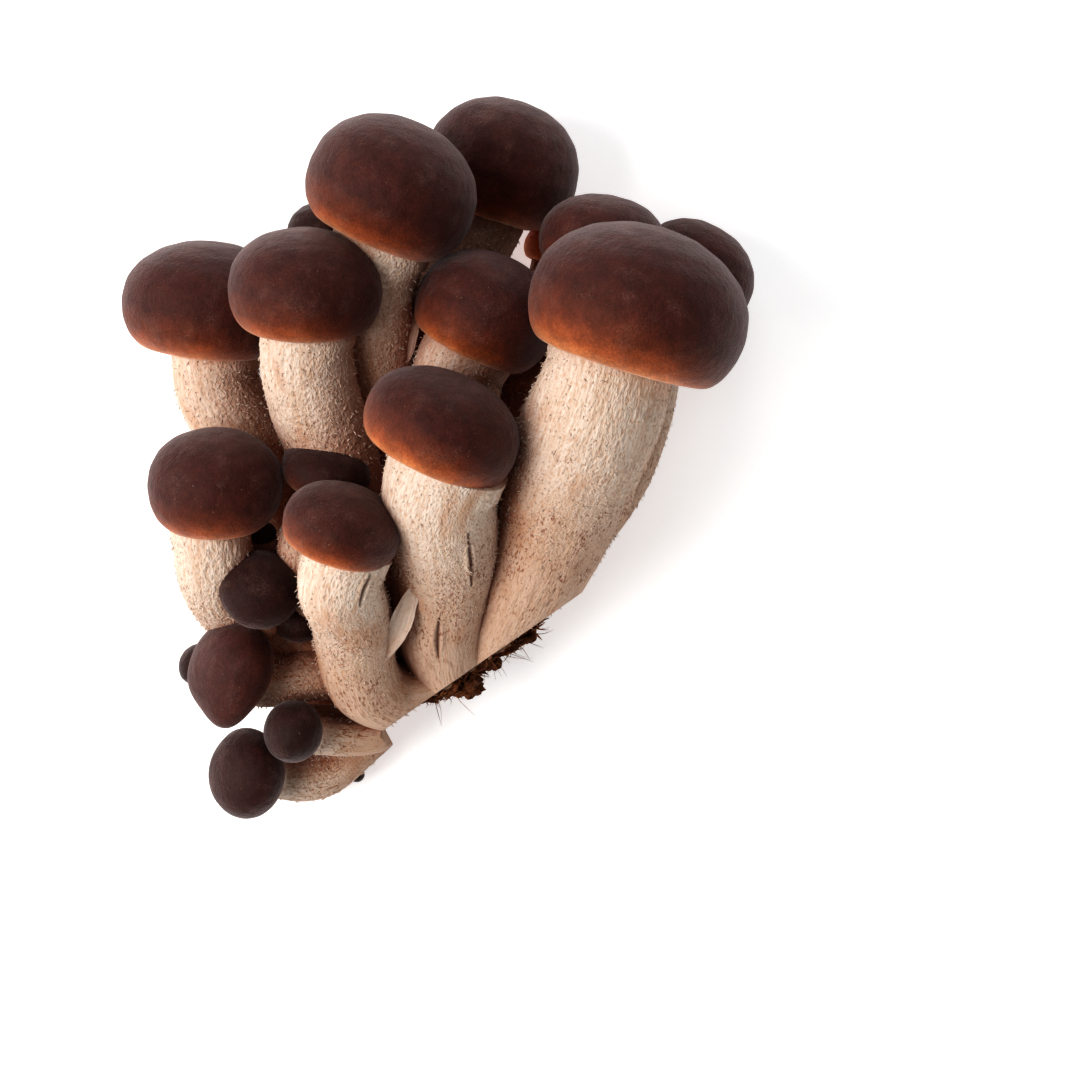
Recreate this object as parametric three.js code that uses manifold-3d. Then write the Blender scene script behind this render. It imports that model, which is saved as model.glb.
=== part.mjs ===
// A cluster of young brown-capped mushrooms, picked and lying on its back on a flat surface.
// Millimetres. +Z is up from the surface, +Y runs from the foot that all the stems share to the caps,
// and +X is to the right for somebody looking down on the cluster with its caps at the top.
// Every mushroom is a cap on a stem. The stems crowd together on one foot, which still carries
// the crust of wood chips that it grew on.

import * as THREE from "three";
import { mergeVertices } from "three/addons/utils/BufferGeometryUtils.js";
import Module from "manifold-3d";

const wasm = await Module();
wasm.setup();

// ---- Driving dimensions ----

const GAP = 0.3; // clear space left between neighbours that touch in life
const STRAIGHT = 0.9; // length of a stem's last stretch, square to its cap, in neck radii
const SEAT_SINK = 0.07; // how far the veil under a cap rises towards the stem, as a share of the cap's radius
const BRIM_RING = 0.52; // radius of the ring where the rolled brim ends, as a share of the cap's radius
const SEAT_RIM = 0.06; // that ring always clears the stem by this much
const DOME_FULLNESS = 0.94; // 1 is an ellipse, and less is a boxier dome
const PINCH_STRETCH = 0.26; // how much longer a squeezed cap gets, as a share of how much narrower
const BIG_CAP = 6; // caps of at least this radius get the finer mesh
const BIG_STEM = 3.5; // and so do stems at least this thick

// at: the middle of the cap where it is widest. lean: the cap's tilt to the right, in degrees, as seen
// from above. nod: its tilt up from the surface. dome and brim: heights above and below the widest ring,
// as shares of the radius. neck and heel: the stem's radius under the cap and at the foot. aside: how far
// right of the cap's middle it meets the cap. route: the stem's line from the foot upwards, without its
// last stretch, which runs straight into the cap. straight: the length of that stretch, if not STRAIGHT.
const MUSHROOMS = [
  {
    name: "front_small", at: [-15, -11, 43.5], radius: 9.4, lean: 18, nod: 20, dome: 0.7, brim: 0.48, aside: 1.9,
    neck: 6.4, heel: 5.5,
    route: [[-2.5, -37, 13], [-9.3, -39.3, 15.5], [-13.2, -34.5, 21.5], [-14, -25, 31]],
  },
  {
    name: "front", at: [0.9, 4.6, 46], radius: 12.7, lean: 25, nod: 16, dome: 0.66, brim: 0.48, aside: 3,
    neck: 8.8, heel: 6.6, straight: 0.4, route: [[0.8, -34, 13.5], [-0.3, -25, 22], [0.6, -13, 34]],
  },
  {
    name: "giant", at: [31.4, 23, 47.5], radius: 17.4, lean: 17, nod: 8, dome: 0.75, brim: 0.54, aside: -1.6,
    neck: 10.6, heel: 6.4, route: [[7.5, -31, 15], [14, -19, 24], [21, -1.5, 36]],
  },
  {
    name: "broad_left", at: [-21.3, 27, 36], radius: 12.3, lean: 3, nod: 18, dome: 0.76, brim: 0.58, aside: 0.7,
    neck: 7.3, heel: 4.6, route: [[-1.5, -33, 14], [-10, -18, 19], [-17, 0, 25]],
  },
  {
    name: "lower_left", at: [-36, -4, 30], radius: 10.9, lean: -1, nod: 20, dome: 0.8, brim: 0.66, aside: -0.9,
    neck: 5.9, heel: 3.8, route: [[-4, -37.5, 10], [-18, -32, 10.5], [-33.4, -24.2, 15]],
  },
  {
    name: "middle", at: [7.3, 23.2, 28.5], radius: 11.5, lean: 26, nod: 10, dome: 0.86, brim: 0.6,
    neck: 6.4, heel: 4, route: [[3, -32, 14], [3.5, -14, 18], [3.5, 2, 22.5]],
  },
  {
    name: "left", at: [-38.4, 25.4, 14.4], radius: 14, lean: 6, nod: 10, dome: 0.74, brim: 0.58, aside: 2.4,
    neck: 6.8, heel: 3.8, route: [[-4, -34, 8.5], [-18, -18, 9], [-29.4, 0, 10.5]],
  },
  {
    name: "top_left", at: [-7.8, 42.5, 33], radius: 14, lean: 24, nod: 12, dome: 0.84, brim: 0.6, aside: 2,
    neck: 6.8, heel: 3.8, route: [[1, -31, 9], [-5, -8, 13], [-11.4, 16, 22]],
  },
  {
    name: "tucked", at: [-18.3, -1.9, 29.6], radius: 7.3, lean: 16, nod: 20, dome: 0.6, brim: 0.5,
    neck: 2.6, heel: 2, route: [[-11, -29, 12], [-20, -23, 19.5], [-22.5, -13.5, 25.5]],
  },
  {
    name: "egg", at: [-34.2, -34.4, 20], radius: 8.7, lean: -72, nod: 38, dome: 0.64, brim: 0.5,
    pinch: { toward: [0.3, -1, 0], amount: 0.52 },
    neck: 4.2, heel: 4, route: [[-4, -38, 10.5], [-14.5, -35.8, 12.5], [-22, -34.8, 14.5]],
  },
  {
    name: "lowest", at: [-32.1, -51.3, 12.5], radius: 7.4, lean: -85, nod: 42, dome: 0.68, brim: 0.56,
    pinch: { toward: [-0.3, 1, 0], amount: 0.06 },
    neck: 3.6, heel: 3.1,
    route: [[-4.5, -41, 8.5], [-12.2, -45.4, 7], [-17.6, -50.2, 6.5], [-22.5, -53.1, 6.8]],
  },
  {
    name: "dark_button", at: [-24, -44, 21.2], radius: 5.3, lean: -75, nod: 45, dome: 0.8, brim: 0.6,
    neck: 2.9, heel: 2.6, route: [[-5.5, -42, 12], [-11, -45, 14]],
  },
  {
    name: "dark_bud", at: [-24.5, -40.9, 13.6], radius: 2.8, lean: -80, nod: 30, dome: 0.85, brim: 0.6,
    neck: 1.3, heel: 1.2, route: [[-9, -41, 11], [-17, -41.4, 11.5]],
  },
  {
    name: "side_bud", at: [-21.4, -42.6, 10.3], radius: 1.8, lean: -80, nod: 10, dome: 0.85, brim: 0.6,
    neck: 1, heel: 1, route: [[-9, -42, 9], [-14, -42.5, 9.5]],
  },
  {
    name: "button", at: [-29, -21, 27], radius: 6.7, lean: 30, nod: 55, dome: 0.75, brim: 0.6,
    neck: 2.6, heel: 2.2, route: [[-12, -36, 8], [-22, -34.5, 10], [-27.5, -30, 15]],
  },
  {
    name: "shaded_button", at: [-23.2, -25.8, 17.6], radius: 4.4, lean: 10, nod: 45, dome: 0.8, brim: 0.6,
    neck: 1.9, heel: 1.8, route: [[-6, -34, 6.5], [-15, -30.5, 9]],
  },
  {
    name: "behind_egg", at: [-40.5, -33.5, 7], radius: 3.6, lean: -60, nod: 20, dome: 0.8, brim: 0.6,
    neck: 1.8, heel: 1.7, route: [[-9, -38.5, 6], [-22, -40, 4.5], [-31, -37.5, 4.5]],
  },
  {
    name: "hidden_bud", at: [-29, -12, 21], radius: 2.4, lean: -8, nod: 25, dome: 0.8, brim: 0.6,
    neck: 1.4, heel: 1.4, route: [[-9, -33.5, 15], [-20, -24, 17]],
  },
  {
    name: "pin", at: [-14.5, -51.8, 3.5], radius: 1.5, lean: -140, nod: 0, dome: 0.9, brim: 0.7,
    neck: 0.8, heel: 0.8, route: [[-5.5, -42.5, 6], [-10, -47.5, 3.5]],
  },
  {
    name: "top", at: [9.6, 47.6, 13], radius: 12.7, lean: 18, nod: 6, dome: 0.92, brim: 0.64,
    neck: 4.7, heel: 3.2, route: [[3, -30, 8.5], [-2, -5, 8], [-2.5, 22, 9.5]],
  },
  {
    name: "behind_giant", at: [26.1, 34.7, 23.6], radius: 10.4, lean: 10, nod: 4, dome: 0.78, brim: 0.56,
    neck: 4.6, heel: 3.2, route: [[7, -29, 10], [8.5, -8, 12], [14.5, 12, 16]],
  },
  {
    name: "far_right", at: [41.1, 30.2, 10.2], radius: 10.2, lean: 30, nod: 0, dome: 0.9, brim: 0.56,
    neck: 4.8, heel: 3.6, route: [[10, -27.3, 10], [20, -16.3, 10.5], [30.4, -1, 11]],
  },
  {
    name: "far_top", at: [18.4, 35, 5.5], radius: 5.2, lean: 20, nod: 0, dome: 0.8, brim: 0.56,
    neck: 2.8, heel: 2.2, route: [[7, -28, 5], [11, -6, 3.5], [15, 16, 4.5]],
  },
  {
    name: "peeping", at: [-20, 38, 8], radius: 5.8, lean: -12, nod: 4, dome: 0.84, brim: 0.56,
    neck: 2.8, heel: 2.2, route: [[-1, -32, 5.5], [-9, -8, 3.5], [-16, 16, 5]],
  },
];

const CLUMP_ROUGHNESS = 0.22; // how far a clump's corners stray from round, as a share of its radius
// The foot is a thick disc. Its cut face looks down and to the right, and the crust and chips sit on it.
const FOOT = { at: [4.9, -30.8, 11], half: [12.5, 4, 10.5], faces: [0.573, -0.82, 0] };
const CRUST = { off: 3.5, half: [12.3, 0.9, 8] };
// No stem grows beyond the cut face. along and off: from the foot's middle to the cleared block's.
const BEYOND = { along: -10, off: 15, half: [30, 12, 40] };
// along and up: where a clump sits on the crust, from its middle. off: how far it stands from the
// foot's middle.
const CLUMPS = [
  { name: "substrate_clump_large", along: 3.6, up: 4, off: 5.4, radius: 2.6 },
  { name: "substrate_clump_low", along: -1.5, up: 3, off: 4.8, radius: 1.6 },
  { name: "substrate_chip_right", along: -8.5, up: 4, off: 4.7, radius: 1.5 },
];

// Shreds torn loose from the stems where two mushrooms were pulled apart. half: half of the width,
// length, thickness.
const SHREDS = [
  { name: "torn_flap", at: [-5.7, -25.2, 33], along: [0.33, 0.8, 0.5], half: [1.5, 8.4, 0.8] },
  { name: "torn_flake", at: [-5, 18.8, 27], along: [0.2, 0.96, 0.2], half: [1.1, 4.4, 0.6] },
];

// ---- Geometry to solid and back ----

// One closed solid of a geometry, ready for cutting.
function solidOf(geometry) {
  const bare = geometry.clone();
  bare.deleteAttribute("normal");
  bare.deleteAttribute("uv");
  const merged = mergeVertices(bare, 1e-4);
  const corners = merged.index.array;
  const triangles = [];
  for (let i = 0; i < corners.length; i += 3) {
    const [a, b, c] = corners.slice(i, i + 3);
    if (a !== b && b !== c && c !== a) triangles.push(a, b, c);
  }
  return new wasm.Manifold(
    new wasm.Mesh({
      numProp: 3,
      vertProperties: new Float32Array(merged.attributes.position.array),
      triVerts: new Uint32Array(triangles),
    }),
  );
}

// The geometry of a solid's largest body.
function geometryOf(solid) {
  const bodies = solid.decompose();
  const largest = bodies.reduce((best, body) => (body.volume() > best.volume() ? body : best));
  const { vertProperties, triVerts } = largest.getMesh();
  return new THREE.BufferGeometry()
    .setAttribute("position", new THREE.BufferAttribute(vertProperties, 3))
    .setIndex(new THREE.BufferAttribute(triVerts, 1));
}

// Moves every vertex of a geometry by a function that changes the vector it is given.
function reshape(geometry, move) {
  const position = geometry.attributes.position;
  const vertex = new THREE.Vector3();
  for (let i = 0; i < position.count; i++) {
    move(vertex.fromBufferAttribute(position, i));
    position.setXYZ(i, vertex.x, vertex.y, vertex.z);
  }
  return geometry;
}

// ---- Caps ----

// The way a cap faces: along +Y when it neither leans nor nods.
function axisOf({ lean, nod }) {
  const turn = THREE.MathUtils.degToRad(lean);
  const rise = THREE.MathUtils.degToRad(nod);
  return new THREE.Vector3(
    Math.sin(turn) * Math.cos(rise),
    Math.cos(turn) * Math.cos(rise),
    Math.sin(rise),
  );
}

// How far the flat seat for the stem lies below a cap's widest ring.
const seatDepth = ({ radius, brim }) => radius * (brim - SEAT_SINK);

// Half a cap's outline, from the seat out to the rolled brim, round it and over the dome.
function capOutline(mushroom) {
  const { radius, dome, brim, neck } = mushroom;
  const ring = Math.max(radius * BRIM_RING, neck + SEAT_RIM * radius);
  const steps = radius < BIG_CAP ? [3, 4] : [4, 5];
  const outline = [
    new THREE.Vector2(0, -seatDepth(mushroom)),
    new THREE.Vector2(neck + GAP, -seatDepth(mushroom)),
  ];
  for (let i = 0; i < steps[0]; i++) {
    const turn = (Math.PI / 2) * (1 - i / steps[0]);
    outline.push(
      new THREE.Vector2(ring + (radius - ring) * Math.cos(turn), -radius * brim * Math.sin(turn)),
    );
  }
  for (let i = 0; i <= steps[1]; i++) {
    const turn = (Math.PI / 2) * (i / steps[1]);
    const across = i === steps[1] ? 0 : Math.cos(turn) ** DOME_FULLNESS;
    outline.push(
      new THREE.Vector2(radius * across, radius * dome * Math.sin(turn) ** DOME_FULLNESS),
    );
  }
  return outline;
}

// A cap squeezed by its neighbours: narrower and longer on the side that points along toward.
function pinch(geometry, { toward, amount }, turned, radius) {
  const side = new THREE.Vector3(...toward).applyQuaternion(turned.clone().invert());
  side.setY(0).normalize();
  return reshape(geometry, (vertex) => {
    const along = Math.max(0, vertex.dot(side) / radius);
    const kept = side.clone().multiplyScalar(vertex.dot(side));
    vertex
      .sub(kept)
      .multiplyScalar(1 - amount * along ** 2)
      .addScaledVector(kept, 1 + PINCH_STRETCH * amount * along);
  });
}

function capMesh(mushroom) {
  const fine = mushroom.radius >= BIG_CAP;
  const geometry = new THREE.LatheGeometry(capOutline(mushroom), fine ? 20 : 12);
  const mesh = new THREE.Mesh(geometry, capSkin);
  mesh.name = `${mushroom.name}_cap`;
  mesh.quaternion.setFromUnitVectors(new THREE.Vector3(0, 1, 0), axisOf(mushroom));
  mesh.position.set(...mushroom.at);
  if (mushroom.pinch) pinch(geometry, mushroom.pinch, mesh.quaternion, mushroom.radius);
  return mesh;
}

// The space a placed mesh takes up, grown by the gap that its neighbours keep.
function keepOut(mesh, radius) {
  mesh.updateMatrixWorld(true);
  const grown = mesh.geometry.clone().scale(...Array(3).fill(1 + GAP / radius));
  const own = mesh.geometry.clone().applyMatrix4(mesh.matrixWorld);
  return solidOf(grown.applyMatrix4(mesh.matrixWorld)).add(solidOf(own));
}

// ---- Stems ----

function stemCurve(mushroom) {
  const axis = axisOf(mushroom);
  const right = new THREE.Vector3(axis.y, -axis.x, 0).normalize();
  const seat = new THREE.Vector3(...mushroom.at)
    .addScaledVector(axis, -seatDepth(mushroom) - GAP)
    .addScaledVector(right, mushroom.aside ?? 0);
  const below = seat.clone().addScaledVector(axis, -(mushroom.straight ?? STRAIGHT) * mushroom.neck);
  const route = mushroom.route.map((point) => new THREE.Vector3(...point));
  return new THREE.CatmullRomCurve3([...route, below, seat]);
}

// A round bar bent along the stem's line, from the heel's radius at the foot to the neck's under the cap.
function stemGeometry(mushroom, grown = 0) {
  const fine = mushroom.neck >= BIG_STEM;
  const sides = fine ? 12 : 8;
  const steps = fine ? 10 : 7;
  const curve = stemCurve(mushroom);
  const { normals, binormals } = curve.computeFrenetFrames(steps);
  const bar = new THREE.CylinderGeometry(1, 1, 1, sides, steps);
  return reshape(bar, (vertex) => {
    const along = vertex.y + 0.5;
    const step = Math.round(along * steps);
    const swell = THREE.MathUtils.smoothstep(along, 0, 0.8);
    const thick = THREE.MathUtils.lerp(mushroom.heel, mushroom.neck, swell) + grown;
    const { x, z } = vertex;
    vertex
      .copy(curve.getPointAt(along))
      .addScaledVector(normals[step], x * thick)
      .addScaledVector(binormals[step], -z * thick);
  });
}

// ---- The foot and what it grew on ----

// Turned so that its own +Y looks out of the foot's cut face.
const footTurn = new THREE.Quaternion().setFromUnitVectors(
  new THREE.Vector3(0, 1, 0),
  new THREE.Vector3(...FOOT.faces).normalize(),
);

function onFoot(mesh, along, off, up) {
  mesh.quaternion.copy(footTurn);
  mesh.position
    .set(along, off, up)
    .applyQuaternion(footTurn)
    .add(new THREE.Vector3(...FOOT.at));
  return mesh;
}

// A repeatable stray in -1 to 1 for a corner, the same wherever the corner is met.
const stray = (v) => Math.sin(v.x * 12.9 + v.y * 78.2 + v.z * 37.7);

function footMesh() {
  const mesh = new THREE.Mesh(new THREE.SphereGeometry(1, 16, 10).scale(...FOOT.half), stemFlesh);
  mesh.name = "foot";
  return onFoot(mesh, 0, 0, 0);
}

function crustMesh() {
  const slab = new THREE.CylinderGeometry(1, 0.92, 2, 14, 1).scale(...CRUST.half);
  const mesh = new THREE.Mesh(slab, substrate);
  mesh.name = "substrate_crust";
  return onFoot(mesh, 0, CRUST.off, 0);
}

function clumpMesh({ name, along, up, off, radius }) {
  const lump = reshape(new THREE.IcosahedronGeometry(1, 1), (vertex) => {
    const rough = stray(vertex.clone().multiplyScalar(3).round());
    vertex.multiplyScalar(radius * (1 + CLUMP_ROUGHNESS * rough));
  });
  const mesh = new THREE.Mesh(lump, substrate);
  mesh.name = name;
  return onFoot(mesh, along, off, up);
}

function shredMesh({ name, at, along, half }) {
  const mesh = new THREE.Mesh(new THREE.SphereGeometry(1, 8, 8).scale(...half), stemFlesh);
  mesh.name = name;
  mesh.quaternion.setFromUnitVectors(new THREE.Vector3(0, 1, 0), new THREE.Vector3(...along).normalize());
  mesh.position.set(...at);
  return mesh;
}

// ---- Materials ----

const capSkin = new THREE.MeshStandardMaterial({ color: 0x4a261a, roughness: 0.75, metalness: 0 });
const stemFlesh = new THREE.MeshStandardMaterial({ color: 0xd9c3a5, roughness: 0.85, metalness: 0 });
const substrate = new THREE.MeshStandardMaterial({ color: 0x4b2f20, roughness: 0.95, metalness: 0 });

// ---- The cluster ----

const cluster = new THREE.Group();
const taken = []; // the space already used, which later pieces are cut back from

// Adds a piece that is made in place, cut back from everything added before it.
function addCut(name, geometry, grown, material) {
  const whole = solidOf(geometry);
  const free = taken.reduce((left, other) => left.subtract(other), whole);
  const mesh = new THREE.Mesh(geometryOf(free), material);
  mesh.name = name;
  cluster.add(mesh);
  taken.push(solidOf(grown));
}

// A geometry moved to where its mesh stands, so that it can be cut there.
function inPlace(mesh, growth = 1) {
  mesh.updateMatrixWorld(true);
  return mesh.geometry.clone().scale(growth, growth, growth).applyMatrix4(mesh.matrixWorld);
}

for (const mushroom of MUSHROOMS) {
  const cap = capMesh(mushroom);
  cluster.add(cap);
  taken.push(keepOut(cap, mushroom.radius));
}

const crust = crustMesh();
addCut("substrate_crust", inPlace(crust), inPlace(crust, 1 + GAP / CRUST.half[1]), substrate);

for (const clump of CLUMPS) {
  const mesh = clumpMesh(clump);
  addCut(clump.name, inPlace(mesh), inPlace(mesh, 1 + GAP / clump.radius), substrate);
}

// The stems are cut back from the crust and from everything beyond it, so all of them end on one face.
const beyond = new THREE.Mesh(new THREE.BoxGeometry(...BEYOND.half.map((half) => 2 * half)), substrate);
onFoot(beyond, BEYOND.along, BEYOND.off, 0);
taken.push(solidOf(inPlace(beyond)));
for (const mushroom of MUSHROOMS) {
  addCut(`${mushroom.name}_stem`, stemGeometry(mushroom), stemGeometry(mushroom, GAP), stemFlesh);
}

const foot = footMesh();
addCut("foot", inPlace(foot), inPlace(foot, 1 + GAP / FOOT.half[1]), stemFlesh);

for (const shred of SHREDS) {
  const mesh = shredMesh(shred);
  addCut(shred.name, inPlace(mesh), inPlace(mesh), stemFlesh);
}

// The origin is under the middle of the whole cluster, on the surface that it lies on.
const bounds = new THREE.Box3().setFromObject(cluster, true);
const middle = bounds.getCenter(new THREE.Vector3());
cluster.position.set(-middle.x, -middle.y, -bounds.min.z);

const part = new THREE.Group();
part.add(cluster);

export default part;
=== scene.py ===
# %% [markdown]
# # A cluster of young mushrooms, picked and lying on its back
#
# Two dozen mushrooms grow from one foot. Each has a thick pale stem and a rounded, velvety cap
# the colour of dark chocolate, whose rolled margin glows amber where light comes through it.
# The oldest have stems as thick as a thumb; the youngest are black beads that hardly stand clear
# of their neighbours. Under the foot hangs a crust of the wood chips they grew on.
#
# The CAD part says where everything is. This script reads each cap's and each stem's place and
# size out of the CAD meshes, and grows a finer, softer version of it on the same lines.

# %% Load the frame
import math

import bpy
import numpy as np
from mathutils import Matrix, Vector
from mathutils.bvhtree import BVHTree


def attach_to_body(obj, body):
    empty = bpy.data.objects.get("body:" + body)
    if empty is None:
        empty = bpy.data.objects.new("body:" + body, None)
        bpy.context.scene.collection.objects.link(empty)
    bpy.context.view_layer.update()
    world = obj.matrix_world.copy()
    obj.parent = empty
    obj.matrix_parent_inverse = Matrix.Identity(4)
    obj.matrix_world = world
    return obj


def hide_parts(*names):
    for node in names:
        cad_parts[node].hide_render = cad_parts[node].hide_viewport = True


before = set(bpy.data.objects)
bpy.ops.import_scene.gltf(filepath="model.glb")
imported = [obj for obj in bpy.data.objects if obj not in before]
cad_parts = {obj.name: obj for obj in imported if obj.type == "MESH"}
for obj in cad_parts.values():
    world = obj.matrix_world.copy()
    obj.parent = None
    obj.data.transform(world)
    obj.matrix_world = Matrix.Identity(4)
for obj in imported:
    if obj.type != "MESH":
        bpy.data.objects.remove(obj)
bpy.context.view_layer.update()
MM = 0.001  # shapes are worked out in millimetres, and Blender's unit is the metre
coarse = 1.0

caps = sorted(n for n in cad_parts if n.endswith("_cap"))
stems = sorted(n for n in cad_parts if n.endswith("_stem"))
print(len(caps), "caps and", len(stems), "stems in the frame")

# %% [markdown]
# ## Reading the CAD meshes
#
# Every cap in the frame is a lathed solid: two poles where all the triangles of a fan meet, one at
# the top of the dome and one in the middle of the flat seat for the stem. The poles are found by
# counting triangles at each corner, and they give the cap's axis. Every stem is a bent bar, partly
# cut away by its neighbours, so its line is found by slicing it, from the seat down.


# %% Corners and triangles of a CAD node
def solid_of(node):
    """The node's corners in millimetres, each one once, and its triangles."""
    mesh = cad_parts[node].data
    corners = np.zeros(len(mesh.vertices) * 3)
    mesh.vertices.foreach_get("co", corners)
    used = np.zeros(len(mesh.loops), int)
    mesh.loops.foreach_get("vertex_index", used)
    points, same = np.unique(
        np.round(corners.reshape(-1, 3) / MM, 3), axis=0, return_inverse=True
    )
    return points, same.ravel()[used].reshape(-1, 3)


def unit(v):
    return v / np.linalg.norm(v)


def square_to(axis):
    """Two directions square to an axis and to each other."""
    first = unit(np.cross(axis, [0.0, 0.0, 1.0] if abs(axis[2]) < 0.9 else [1.0, 0.0, 0.0]))
    return first, np.cross(axis, first)


# %% [markdown]
# A cap is then described by how far its skin is from a point on its axis, for each angle away from
# the top and each turn round the axis. Keeping only the slowest waves round the axis turns the
# CAD's flat facets back into the round shape that they stand for, and still keeps the caps that
# were squeezed into an egg by their neighbours.

# %% Measure the caps
TILTS = np.linspace(0, math.pi, 181)  # angle from the top of the cap
WAVES = 5  # the fastest wave round the axis that is kept
FACET_LOSS = 1.008  # flat facets lie this much inside the round shape
RAYS_ROUND = 24  # rays sent out at each tilt
BLUR, BLUR_REACH = 3.0, 9  # rows over which the reach is evened out, and where that stops
OFF_CENTRE = np.array([0.0013, 0.0007, 0.0009])  # keeps the rays off the poles and edges


def measure_cap(node):
    points, triangles = solid_of(node)
    fans = np.bincount(triangles.ravel(), minlength=len(points))
    poles = np.argsort(fans)[-2:]

    def steepness(pole):
        """How much the fan round a pole slopes: the seat's is flat."""
        other = points[poles[0]] if pole == poles[1] else points[poles[1]]
        axis = unit(points[pole] - other)
        ring = points[np.unique(triangles[(triangles == pole).any(1)])] - points[pole]
        ring = ring[np.linalg.norm(ring, axis=1) > 1e-6]
        along = ring @ axis
        return np.mean(np.abs(along)) / np.mean(
            np.linalg.norm(ring - along[:, None] * axis, axis=1)
        )

    seat, top = sorted(poles, key=steepness)
    axis = unit(points[top] - points[seat])
    along = (points - points[seat]) @ axis
    out = np.linalg.norm(points - points[seat] - along[:, None] * axis, axis=1)
    middle = points[seat] + axis * along[np.argmax(out)]
    lowest = np.argmin(along)
    edge = math.pi - math.atan2(out[lowest], along[np.argmax(out)] - along[lowest])
    u, v = square_to(axis)
    turns = np.arange(RAYS_ROUND) * 2 * math.pi / RAYS_ROUND
    tree = BVHTree.FromPolygons([Vector(p) for p in points], triangles.tolist())
    reach = np.zeros((len(TILTS), len(turns)))
    for i, tilt in enumerate(TILTS):
        for j, turn in enumerate(turns):
            ray = axis * math.cos(tilt) + (u * math.cos(turn) + v * math.sin(turn)) * math.sin(tilt)
            reach[i, j] = tree.ray_cast(Vector(middle + OFF_CENTRE), Vector(ray))[3]
    kernel = np.exp(-0.5 * (np.arange(-BLUR_REACH, BLUR_REACH + 1) / BLUR) ** 2)
    padded = np.pad(reach, ((BLUR_REACH, BLUR_REACH), (0, 0)), mode="reflect")
    windows = [padded[i : i + len(kernel)] for i in range(len(TILTS))]
    reach = np.array([(rows * kernel[:, None]).sum(0) / kernel.sum() for rows in windows])
    waves = np.fft.rfft(reach, axis=1)[:, : WAVES + 1] / len(turns) * FACET_LOSS
    return {
        "axis": axis, "u": u, "v": v, "middle": middle, "seat": points[seat],
        "radius": float(out.max()), "edge": edge, "waves": waves,
    }


cap_of = {node: measure_cap(node) for node in caps}
for node in caps:
    c = cap_of[node]
    edge = math.degrees(c["edge"])
    print(f"{node:20s} radius {c['radius']:5.1f} mm, edge at {edge:4.0f} degrees")

# %% [markdown]
# A slice through a stem is a round polygon with bites out of it, where neighbours press in. The
# smallest circle round the slice ignores the bites, as long as they take less than half of the rim.
# A smooth curve is then laid through the circles, heeding the slices with few bites most.

# %% Measure the stems
STRIDE = 1.5  # millimetres between two slices
SEAT_GAP = 1.0  # the first slice is this far below the cap's seat
HIDDEN_SHARE = 0.5  # radius of a hidden stem, as a share of its cap's
FEWEST_SPOTS = 6  # a slice with fewer corners than this tells nothing
SECTORS = 10  # parts of a rim that are counted as whole or bitten
STRAY = 1.7  # spots farther out than this many radii belong to something else
SUDDEN = 0.6  # a slice this much slimmer than the last one ends the stem
MOST_BENDS, MOST_SWELLS = 5, 2  # degrees of the curves through the middles and the radii


def slice_of(points, triangles, at, along):
    """Where the plane through a point cuts a solid's edges."""
    height = (points - at) @ along
    a, b = triangles.ravel(), np.roll(triangles, -1, axis=1).ravel()
    cut = (height[a] < 0) != (height[b] < 0)
    share = height[a][cut] / (height[a][cut] - height[b][cut])
    return points[a[cut]] * (1 - share)[:, None] + points[b[cut]] * share[:, None]


def circle_round(spots):
    """Middle and radius of the smallest circle round flat spots: it steps to the farthest spot."""
    middle = (spots.min(0) + spots.max(0)) / 2
    for step in range(1, 160):
        away = spots - middle
        farthest = np.argmax((away**2).sum(1))
        middle = middle + away[farthest] / (step + 1)
    return middle, float(np.sqrt(((spots - middle) ** 2).sum(1)).max())


def wholeness(flat, wide, along):
    """The share of a slice's rim, from 0.1 to 1, that lies on the circle round it."""
    near_rim = np.linalg.norm(flat, axis=1) > 0.93 * wide
    side, other = square_to(along)
    sectors = np.floor(np.arctan2(flat @ side, flat @ other) / (2 * math.pi / SECTORS)).astype(int)
    return max(len(np.unique(sectors[near_rim])) / SECTORS, 0.1)


def measure_stem(node):
    points, triangles = solid_of(node)
    cap = cap_of[node.replace("_stem", "_cap")]
    along = -cap["axis"]
    at = cap["seat"] + along * SEAT_GAP
    spots = slice_of(points, triangles, at, along)
    if len(spots) < FEWEST_SPOTS:  # a bud whose neighbours hide its stem: a straight line will do
        line = np.linspace(at, points.mean(0), 8)
        return line, np.full(8, HIDDEN_SHARE * cap["radius"])
    at, thick = circle_round(spots)
    line, radii, whole = [at], [thick], [wholeness(spots - at, thick, along)]
    for _ in range(200):
        guess = at + along * STRIDE
        spots = slice_of(points, triangles, guess, along)
        spots = spots[np.linalg.norm(spots - guess, axis=1) < STRAY * thick]
        if len(spots) < FEWEST_SPOTS:
            break
        found, wide = circle_round(spots)
        if wide < SUDDEN * thick:
            break
        whole.append(wholeness(spots - found, wide, along))
        found = guess + (found - guess) * 0.8
        along = unit(0.55 * along + 0.45 * unit(found - at))
        at, thick = found, 0.6 * thick + 0.4 * wide
        line.append(at)
        radii.append(thick)
    line, radii, whole = np.array(line), np.array(radii), np.array(whole) ** 2
    s = np.linspace(-1, 1, len(line))
    bends = min(MOST_BENDS, len(line) - 2)
    line = [np.polyval(np.polyfit(s, line[:, k], bends, w=whole), s) for k in range(3)]
    radii = np.polyval(np.polyfit(s, radii, MOST_SWELLS, w=whole), s)
    return np.stack(line, axis=1), radii


stem_of = {node: measure_stem(node) for node in stems}
for node in stems:
    line, radii = stem_of[node]
    print(f"{node:20s} {len(line):3d} slices, radius {radii[0]:4.1f} to {radii[-1]:4.1f} mm")

# %% [markdown]
# ## Natural roughness
#
# Nothing that grew is smooth. Random numbers on a grid, blended between the grid's corners, give
# hills and hollows of a chosen size. The numbers come from the grid's own coordinates, so the same
# place always gets the same height.


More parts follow.
